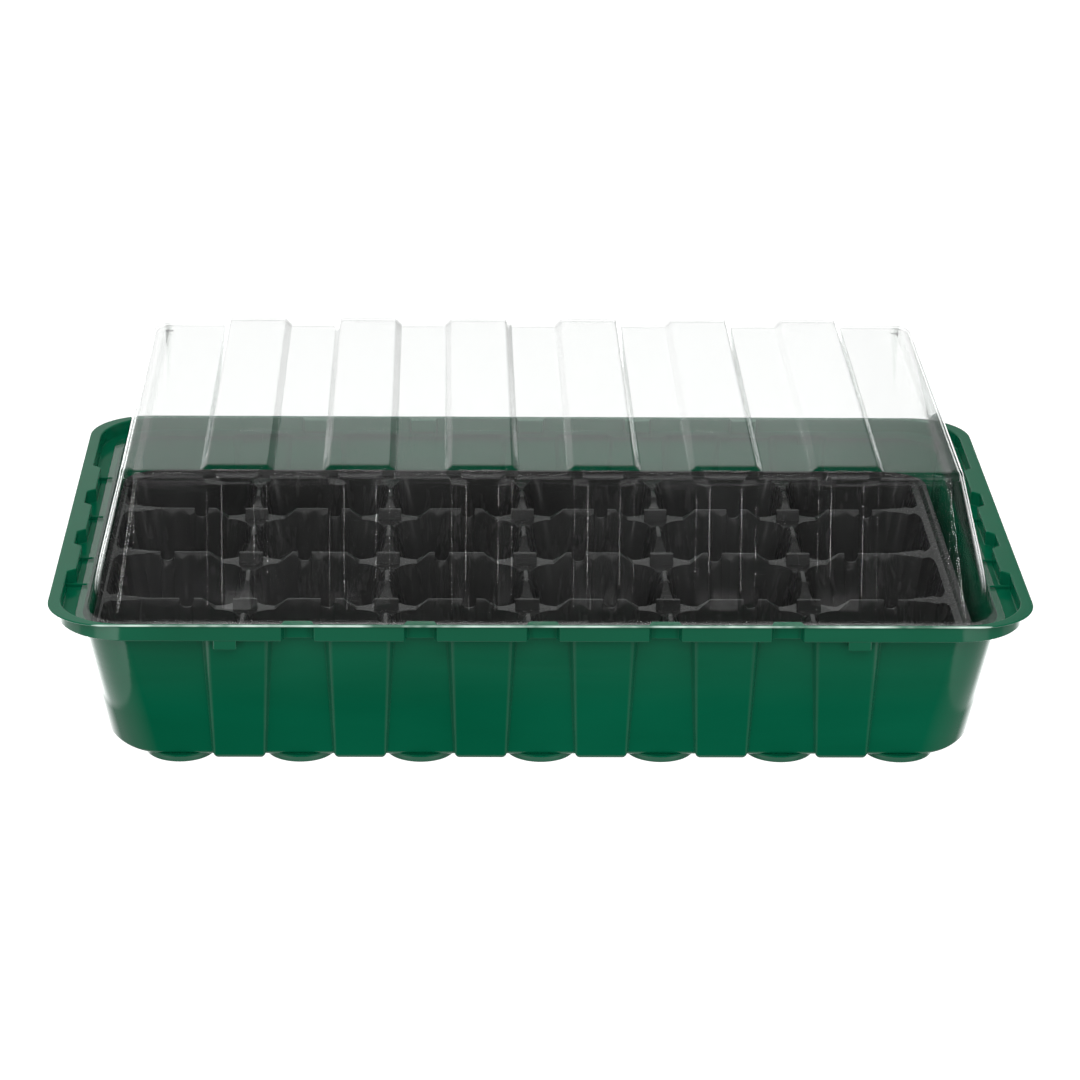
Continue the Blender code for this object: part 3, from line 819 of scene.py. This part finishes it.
def dome_side(widths, out, recess):
    """Along a long side of the dome at one height: (position, outward offset, flute share)."""
    wide, narrow = widths
    limit = PANEL_END
    run = [(-limit - 0.7, 0.0, 0.0), (-limit - 0.35, -recess / 2, 0.0), (-limit, -recess, 0.0)]
    for centre in centres(PILASTERS, BAY):
        for t in DOME_STATIONS:
            share = flute_ramp(t)
            run.append((centre - wide + (wide - narrow) * t, out * share - recess * (1 - share), share))
        for t in reversed(DOME_STATIONS):
            share = flute_ramp(t)
            run.append((centre + wide - (wide - narrow) * t, out * share - recess * (1 - share), share))
    run += [(limit, -recess, 0.0), (limit + 0.35, -recess / 2, 0.0), (limit + 0.7, 0.0, 0.0)]
    return run


def dome_ring(half_x, half_y, corner, height, widths, out=0.0, lift=0.0, recess=0.0):
    """One outline of the dome, with its flutes pushed out and up."""
    side = dome_side(widths, out, recess)
    flat = [(x, 0.0) for x, offset, share in side]
    points = outline(half_x, half_y, (corner, corner, 2.0), flat, [])
    count = len(side) + 2
    half_count = len(points) // 2
    ring = []
    for index, (x, y) in enumerate(points):
        offset, share = 0.0, 0.0
        if 0 < index < count - 1:
            offset, share = side[index - 1][1:]
        elif half_count < index < half_count + count - 1:
            offset, share = side[len(side) - (index - half_count)][1:]
        ring.append((x, y + sign(y) * offset, height + lift * share))
    return ring


def dome_shell_rings(inset):
    """Rings from the foot of the wall up to the roof's edge, moved in by inset."""
    base = DOME_BASE
    edge = DOME_EDGE
    walls = DOME_FLUTE_WALL
    foot = LIP_UNDER + DOME_SHEET
    start = foot + 3.0
    rings = []
    for c, s in quarter(3):
        grow = 0.8 * (1 - s) - inset
        rings.append(dome_ring(base[0] + grow, base[1] + grow, base[2] + grow, foot - inset + 0.8 * (1 - c), walls))
    rings.append(dome_ring(base[0] - 0.6 - inset, base[1] - 0.6 - inset, base[2], start, walls))
    for t in (0.12, 0.3, 0.55, 0.8, 1.0):
        drop = 0.6 + 0.3 * t + inset
        out = DOME_FLUTE_RISE * shoulder(t)
        rings.append(
            dome_ring(base[0] - drop, base[1] - drop, base[2], start + 1.6 * t, walls, out, 0.0, RECESS * t)
        )
    low = start + 1.6
    high = ROOF - ROOF_ROUND
    for t, recess in ((0.25, 1.0), (0.5, 1.0), (0.75, 1.0), (0.975, 1.0), (0.99, 0.4)):
        half_x = base[0] - 0.9 + (edge[0] - base[0] + 0.9) * t - inset
        half_y = base[1] - 0.9 + (edge[1] - base[1] + 0.9) * t - inset
        corner = base[2] + (edge[2] - base[2]) * t
        rings.append(
            dome_ring(half_x, half_y, corner, low + (high - low) * t, walls, DOME_FLUTE_RISE, 0.0, RECESS * recess)
        )
    for step in range(9):
        angle = math.pi / 2 * step / 8
        shift = ROOF_ROUND * (1 - math.cos(angle))
        height = ROOF - ROOF_ROUND * (1 - math.sin(angle)) - inset
        widths = tuple(between((w, r), step / 8) for w, r in zip(walls, DOME_FLUTE_ROOF))
        out = DOME_FLUTE_RISE * math.cos(angle)
        lift = DOME_FLUTE_RISE * math.sin(angle)
        corner = max(1.5, edge[2] - shift)
        rings.append(dome_ring(edge[0] - shift - inset, edge[1] - shift - inset, corner, height, widths, out, lift))
    return rings


def close_roof(shell, ring, side_count):
    """Faces that close the roof: strips from the front edge to the back edge, and two ends."""
    size = len(ring)
    back_start = size // 2
    rows = 10
    columns = []
    for index in range(side_count):
        a = Vector(shell.points[ring[index]])
        b = Vector(shell.points[ring[back_start + side_count - 1 - index]])
        inner = shell.ring([tuple(a.lerp(b, row / rows)) for row in range(1, rows)])
        columns.append([ring[index]] + inner + [ring[back_start + side_count - 1 - index]])
    for left, right in zip(columns, columns[1:]):
        for row in range(rows):
            shell.faces.append((left[row], right[row], right[row + 1], left[row + 1]))
    right_end = ring[side_count - 1 : back_start + 1]
    left_end = ring[back_start + side_count - 1 :] + [ring[0]]
    shell.faces.append(tuple(right_end + list(reversed(columns[-1][1:-1]))))
    shell.faces.append(tuple(left_end + columns[0][1:-1]))


def make_dome(material):
    """The lip, the outer skin and the roof, then the inner skin."""
    shell = Shell()
    lip_x, lip_y, lip_corner = LIP
    walls = DOME_FLUTE_WALL
    edge = DOME_SHEET / 2
    outer = []
    for step in range(5):
        angle = -math.pi / 2 + math.pi * step / 4
        inset = edge * (1 - math.cos(angle))
        height = LIP_UNDER + edge + edge * math.sin(angle)
        outer.append(dome_ring(lip_x - inset, lip_y - inset, lip_corner, height, walls))
    outer += dome_shell_rings(0.0)
    inner = dome_shell_rings(DOME_SHEET)
    outer_rings = shell.stack(outer)
    inner_rings = shell.stack(inner)
    side_count = len(dome_side(walls, 0.0, 0.0)) + 2
    close_roof(shell, outer_rings[-1], side_count)
    close_roof(shell, inner_rings[-1], side_count)
    shell.band(outer_rings[0], inner_rings[0])
    return shell.make("dome_shell", material, "dome", ("dome",), sharp=35.0)


# Materials


class Nodes:
    """Small helper that adds shader nodes and links."""

    def __init__(self, tree):
        self.tree = tree
        tree.nodes.clear()

    def add(self, kind, **inputs):
        """A node with its inputs set to a value or linked to a socket."""
        node = self.tree.nodes.new(kind)
        for name, value in inputs.items():
            self.put(node, name.replace("_", " "), value)
        return node

    def put(self, node, name, value):
        """Sets or links one input, named or by number."""
        socket = node.inputs[int(name[1:])] if name[0] == "#" else node.inputs[name]
        if isinstance(value, bpy.types.NodeSocket):
            self.tree.links.new(value, socket)
        else:
            socket.default_value = value

    def math(self, operation, a, b=None, c=None, clamp=False):
        """Result of a Math node."""
        node = self.tree.nodes.new("ShaderNodeMath")
        node.operation = operation
        node.use_clamp = clamp
        for index, value in enumerate((a, b, c)):
            if value is not None:
                self.put(node, f"#{index}", value)
        return node.outputs[0]

    def remap(self, value, low, high, to_low, to_high):
        """Linear remap, clamped."""
        node = self.add("ShaderNodeMapRange")
        for index, number in enumerate((value, low, high, to_low, to_high)):
            self.put(node, f"#{index}", number)
        return node.outputs[0]

    def noise(self, coord, scale, detail=4.0, roughness=0.5, distortion=0.0):
        """Noise factor."""
        node = self.add("ShaderNodeTexNoise", Scale=scale, Detail=detail, Roughness=roughness)
        node.inputs["Distortion"].default_value = distortion
        self.tree.links.new(coord, node.inputs["Vector"])
        return node.outputs[0]

    def mix_colour(self, factor, a, b):
        """Mixed colour."""
        node = self.tree.nodes.new("ShaderNodeMix")
        node.data_type = "RGBA"
        self.put(node, "#0", factor)
        self.put(node, "#6", a)
        self.put(node, "#7", b)
        return node.outputs[2]

    def split(self, vector):
        """The three parts of a vector."""
        node = self.tree.nodes.new("ShaderNodeSeparateXYZ")
        self.tree.links.new(vector, node.inputs[0])
        return node.outputs

    def stretched(self, x, y, z):
        """Object coordinates scaled by axis."""
        coord = self.tree.nodes.new("ShaderNodeTexCoord")
        mapping = self.tree.nodes.new("ShaderNodeMapping")
        mapping.inputs["Scale"].default_value = (x, y, z)
        self.tree.links.new(coord.outputs["Object"], mapping.inputs["Vector"])
        return mapping.outputs[0]

    def bump(self, height, strength, distance, normal=None):
        """Bumped normal."""
        node = self.add("ShaderNodeBump", Strength=strength, Distance=distance, Height=height)
        if normal is not None:
            self.tree.links.new(normal, node.inputs["Normal"])
        return node.outputs[0]

    def output(self, shader):
        """Material output."""
        node = self.tree.nodes.new("ShaderNodeOutputMaterial")
        self.tree.links.new(shader, node.inputs["Surface"])


def new_material(name):
    """An empty node material."""
    material = bpy.data.materials.new(name)
    material.use_nodes = True
    return material, Nodes(material.node_tree)


def tray_material():
    """Green moulded plastic: slight flow marks, fine grain, uneven gloss."""
    material, n = new_material("green_plastic")
    plain = n.stretched(1, 1, 1)
    flow = n.noise(n.stretched(0.35, 0.35, 1.6), 24.0, 3.0, 0.55, 0.6)
    cloud = n.noise(plain, 9.0, 4.0, 0.55)
    grain = n.noise(plain, 1900.0, 3.0, 0.6)
    scuff = n.noise(n.stretched(1.0, 1.0, 0.12), 260.0, 6.0, 0.75, 1.2)
    shade = n.math("ADD", n.math("MULTIPLY", flow, 0.5), n.math("MULTIPLY", cloud, 0.5))
    colour = n.mix_colour(
        n.remap(shade, 0.35, 0.65, 0.0, 1.0),
        (0.0006, 0.083, 0.039, 1.0),
        (0.0014, 0.102, 0.05, 1.0),
    )
    rough = n.math("ADD", n.remap(cloud, 0.3, 0.7, 0.1, 0.15), n.remap(scuff, 0.6, 0.8, 0.0, 0.08))
    normal = n.bump(grain, 0.1, 0.00004)
    normal = n.bump(flow, 0.3, 0.0008, normal)
    geometry = n.tree.nodes.new("ShaderNodeNewGeometry")
    facing = n.split(geometry.outputs["Normal"])
    _, y, z = n.split(plain)
    # Upward faces reflect less, and the low ledge even less.
    upward = n.remap(facing[2], 0.6, 0.9, 0.0, 1.0)
    sunken = n.remap(z, 0.0595, 0.0608, 0.18, 0.0)
    spec_cut = n.math("MULTIPLY", upward, n.math("ADD", sunken, 0.29))
    # Painted shade: reflection is cut on the recessed gap faces between the skirt blocks, under the flange.
    behind = n.remap(n.math("ABSOLUTE", y), 0.1163, 0.117, 1.0, 0.0)
    recess = n.math("MULTIPLY", behind, n.remap(z, 0.0525, 0.054, 0.0, 0.28))
    outside = n.remap(n.math("ABSOLUTE", y), 0.1125, 0.1135, 0.0, 1.0)
    recess = n.math("MULTIPLY", n.math("MULTIPLY", recess, outside), n.remap(z, 0.0595, 0.0605, 1.0, 0.0))
    spec_cut = n.math("ADD", spec_cut, recess)
    # Painted highlight: a pale line along the flange's outer top edge on both long sides, broken up by noise.
    edge = n.remap(n.math("ABSOLUTE", y), 0.1191, 0.1196, 0.0, 1.0)
    edge = n.math("MULTIPLY", edge, n.remap(z, 0.0607, 0.0613, 0.0, 1.0))
    highlight_breakup = n.noise(n.stretched(1.0, 0.2, 0.2), 55.0, 3.0, 0.6)
    edge = n.math("MULTIPLY", edge, n.remap(highlight_breakup, 0.4, 0.62, 0.1, 0.85))
    colour = n.mix_colour(edge, colour, (0.62, 0.78, 0.7, 1.0))
    shader = n.add("ShaderNodeBsdfPrincipled", Roughness=rough, IOR=1.4, Normal=normal)
    n.put(shader, "Specular IOR Level", n.math("SUBTRACT", 0.5, spec_cut))
    n.put(shader, "Base Color", colour)
    n.output(shader.outputs[0])
    return material


def insert_material():
    """Black thermoformed sheet: satin, with a cloudy tone and fine drag marks."""
    material, n = new_material("black_sheet")
    plain = n.stretched(1, 1, 1)
    cloud = n.noise(plain, 30.0, 4.0, 0.6)
    drag = n.noise(n.stretched(1.0, 1.0, 0.08), 300.0, 3.0, 0.6)
    grain = n.noise(plain, 2600.0, 2.0, 0.5)
    colour = n.mix_colour(cloud, (0.0145, 0.0145, 0.0148, 1.0), (0.0235, 0.023, 0.0226, 1.0))
    rough = n.math("ADD", n.remap(cloud, 0.3, 0.7, 0.2, 0.28), n.remap(drag, 0.5, 0.75, 0.0, 0.08))
    normal = n.bump(grain, 0.06, 0.00004)
    normal = n.bump(drag, 0.025, 0.00008, normal)
    shader = n.add("ShaderNodeBsdfPrincipled", Roughness=rough, IOR=1.3, Normal=normal)
    n.put(shader, "Base Color", colour)
    n.output(shader.outputs[0])
    return material


def dome_material():
    """Clear sheet: see-through, with a Fresnel sheen, faint waves and light scuffs."""
    material, n = new_material("clear_sheet")
    plain = n.stretched(1, 1, 1)
    wave = n.noise(plain, 14.0, 2.0, 0.5)
    scuff = n.noise(n.stretched(1.0, 0.25, 1.0), 420.0, 6.0, 0.8, 1.5)
    cloud = n.noise(plain, 22.0, 4.0, 0.6)
    normal = n.bump(wave, 0.12, 0.0006)
    geometry = n.tree.nodes.new("ShaderNodeNewGeometry")
    dot = n.tree.nodes.new("ShaderNodeVectorMath")
    dot.operation = "DOT_PRODUCT"
    n.tree.links.new(normal, dot.inputs[0])
    n.tree.links.new(geometry.outputs["Incoming"], dot.inputs[1])
    facing = n.math("ABSOLUTE", dot.outputs["Value"])
    away = n.math("POWER", n.math("SUBTRACT", 1.0, facing, clamp=True), 5.0)
    sheen = n.math("MINIMUM", n.math("MULTIPLY_ADD", away, 1.05, 0.014), 0.36)
    edge_on = n.remap(away, 0.25, 0.85, 0.0, 1.0)
    tint = n.mix_colour(edge_on, (0.995, 0.999, 0.996, 1.0), (0.52, 0.55, 0.54, 1.0))
    clear = n.tree.nodes.new("ShaderNodeBsdfTransparent")
    n.put(clear, "Color", tint)
    gloss = n.add("ShaderNodeBsdfGlossy", Roughness=n.remap(cloud, 0.3, 0.7, 0.03, 0.07), Normal=normal)
    haze = n.add("ShaderNodeBsdfDiffuse", Color=(0.9, 0.92, 0.92, 1.0), Normal=normal)
    dust = n.math("ADD", n.remap(cloud, 0.35, 0.75, 0.0005, 0.005), n.remap(scuff, 0.66, 0.8, 0.0, 0.1))
    first = n.tree.nodes.new("ShaderNodeMixShader")
    n.put(first, "#0", dust)
    n.put(first, "#1", clear.outputs[0])
    n.put(first, "#2", haze.outputs[0])
    second = n.tree.nodes.new("ShaderNodeMixShader")
    n.put(second, "#0", sheen)
    n.put(second, "#1", first.outputs[0])
    n.put(second, "#2", gloss.outputs[0])
    n.output(second.outputs[0])
    return material


def floor_material():
    """Pale floor: white to the camera, with a painted shadow that keeps it dark in its reflections under and just
    in front of the object.
    """
    material, n = new_material("pale_floor")
    path = n.tree.nodes.new("ShaderNodeLightPath")
    geometry = n.tree.nodes.new("ShaderNodeNewGeometry")
    split = n.tree.nodes.new("ShaderNodeSeparateXYZ")
    n.tree.links.new(geometry.outputs["Incoming"], split.inputs[0])
    across, along, down = split.outputs
    place = n.tree.nodes.new("ShaderNodeSeparateXYZ")
    n.tree.links.new(geometry.outputs["Position"], place.inputs[0])
    where_x, where_y, _ = place.outputs
    aside = n.math("ABSOLUTE", where_x)
    close = n.remap(aside, 0.5, 0.8, 1.0, 0.0)
    turned = n.math("ABSOLUTE", across)
    sideways = n.remap(turned, 0.25, 0.75, 0.0, 0.7)
    # Painted shadow: in reflections the floor under the tray's ends stays dark and turns bright past the rim at |x|
    # 0.19 m.
    beyond = n.remap(aside, 0.188, 0.192, 0.0, 2.6)
    beyond = n.math("MULTIPLY", beyond, n.remap(turned, 0.25, 0.85, 1.0, 0.25))
    side_light = n.math("MULTIPLY", n.math("ADD", sideways, beyond), close)
    side_light = n.math("MULTIPLY", side_light, n.remap(where_x, -0.15, 0.15, 1.0, 0.6))
    back_light = n.remap(along, -0.9, -0.5, 2.6, 0.0)
    steep = n.remap(down, 0.8, 0.9, 0.0, 0.9)
    # Painted shadow: in reflections the floor is dark just in front of the tray and brightens from 0.15 to 0.22 m
    # out.
    near = n.remap(where_y, -0.15, -0.22, 0.0, 0.34)
    near = n.math("MULTIPLY", near, n.remap(where_y, -0.8, -0.4, 0.0, 1.0))
    mirror = n.math("ADD", n.math("ADD", side_light, back_light), n.math("MAXIMUM", steep, near))
    level = n.math("MULTIPLY", mirror, path.outputs["Is Glossy Ray"])
    level = n.math("ADD", level, n.math("MULTIPLY", path.outputs["Is Camera Ray"], CAMERA_LEVEL))
    level = n.math("ADD", level, n.math("MULTIPLY", path.outputs["Is Diffuse Ray"], 0.55))
    glow = n.add("ShaderNodeEmission", Color=(1.0, 1.0, 1.0, 1.0), Strength=level)
    n.output(glow.outputs[0])
    material.cycles.emission_sampling = "NONE"
    return material


def make_world():
    """Soft studio: even light for shading, and a bright top, sides and back in reflections."""
    world = bpy.data.worlds.new("studio")
    bpy.context.scene.world = world
    world.use_nodes = True
    n = Nodes(world.node_tree)
    path = n.tree.nodes.new("ShaderNodeLightPath")
    coord = n.tree.nodes.new("ShaderNodeTexCoord")
    split = n.tree.nodes.new("ShaderNodeSeparateXYZ")
    n.tree.links.new(coord.outputs["Generated"], split.inputs[0])
    x, y, z = split.outputs
    back = n.math("MULTIPLY", n.remap(y, 0.1, 0.7, 0.0, 0.72), n.remap(z, 0.5, 0.75, 1.0, 0.08))
    back = n.math("MULTIPLY", back, n.remap(x, 0.1, 0.17, 1.0, 0.3))
    side = n.remap(n.math("ABSOLUTE", x), 0.8, 0.95, 0.0, 0.5)
    side = n.math("MULTIPLY", side, n.remap(y, -0.6, -0.3, 0.0, 1.0))
    top = n.remap(z, 0.75, 0.95, 0.0, 0.12)
    mirror = n.math("ADD", n.math("ADD", back, side), top, clamp=True)
    level = n.math("MULTIPLY", mirror, path.outputs["Is Glossy Ray"])
    level = n.math("ADD", level, n.math("MULTIPLY", path.outputs["Is Camera Ray"], CAMERA_LEVEL))
    level = n.math("ADD", level, n.math("MULTIPLY", path.outputs["Is Diffuse Ray"], 0.75))
    background = n.add("ShaderNodeBackground", Color=(1.0, 1.0, 1.0, 1.0), Strength=level)
    output = n.tree.nodes.new("ShaderNodeOutputWorld")
    n.tree.links.new(background.outputs[0], output.inputs["Surface"])
    world.cycles.sampling_method = "NONE"


def add_light(name, place, target, size, power, glossy=True):
    """A soft rectangular light aimed at a point."""
    data = bpy.data.lights.new(name, "AREA")
    data.shape = "RECTANGLE"
    data.size, data.size_y = size
    data.energy = power
    obj = bpy.data.objects.new(name, data)
    direction = Vector(target) - Vector(place)
    obj.location = place
    obj.rotation_euler = direction.to_track_quat("-Z", "Y").to_euler()
    obj.visible_glossy = glossy
    obj.visible_camera = False
    bpy.context.scene.collection.objects.link(obj)
    return obj


def make_stage():
    """Floor, world and lights."""
    mesh = bpy.data.meshes.new("floor")
    size = 6.0
    corners = [(-size, -size, 0), (size, -size, 0), (size, size, 0), (-size, size, 0)]
    mesh.from_pydata(corners, [], [(0, 1, 2, 3)])
    mesh.materials.append(floor_material())
    floor = bpy.data.objects.new("floor", mesh)
    floor.location.z = -0.0005
    bpy.context.scene.collection.objects.link(floor)
    make_world()
    add_light("side_left", (-1.4, -0.12, 0.22), (0, 0, 0.06), (0.2, 0.6), 2.0, glossy=False)
    add_light("side_right", (1.4, -0.12, 0.22), (0, 0, 0.06), (0.2, 0.6), 1.6, glossy=False)
    add_light("strip_left", (-0.82, -1.17, 0.24), (0, 0, 0.08), (0.09, 0.46), 2.4)
    add_light("strip_right", (0.82, -1.17, 0.24), (0, 0, 0.08), (0.06, 0.46), 2.4)
    add_light("strip_top", (0.0, -0.15, 1.3), (0, 0, 0.05), (1.4, 0.09), 4.0)
    add_light("front_fill", (0.0, -1.5, 1.4), (0, 0, 0.05), (1.8, 1.1), 13.0)


def make_camera():
    """The camera at the reference's angle: a long lens looking down by about 21 degrees."""
    pitch = 0.3700
    yaw = 0.0276
    roll = 0.01268
    data = bpy.data.cameras.new("camera")
    data.sensor_width = 36.0
    data.lens = 127.43
    data.clip_start = 0.05
    data.clip_end = 50.0
    forward = Vector((math.sin(yaw) * math.cos(pitch), math.cos(yaw) * math.cos(pitch), -math.sin(pitch)))
    right = Vector((math.cos(yaw), -math.sin(yaw), 0.0))
    up = right.cross(forward)
    turned_right = right * math.cos(roll) + up * math.sin(roll)
    turned_up = up * math.cos(roll) - right * math.sin(roll)
    matrix = Matrix((turned_right, turned_up, -forward)).transposed().to_4x4()
    matrix.translation = Vector((-0.038705, -1.459914, 0.617034))
    camera = bpy.data.objects.new("camera", data)
    camera.matrix_world = matrix
    bpy.context.scene.collection.objects.link(camera)
    bpy.context.scene.camera = camera


make_tray(tray_material())
make_insert(insert_material())
make_dome(dome_material())
make_stage()
make_camera()
bpy.context.scene.view_settings.view_transform = "Standard"
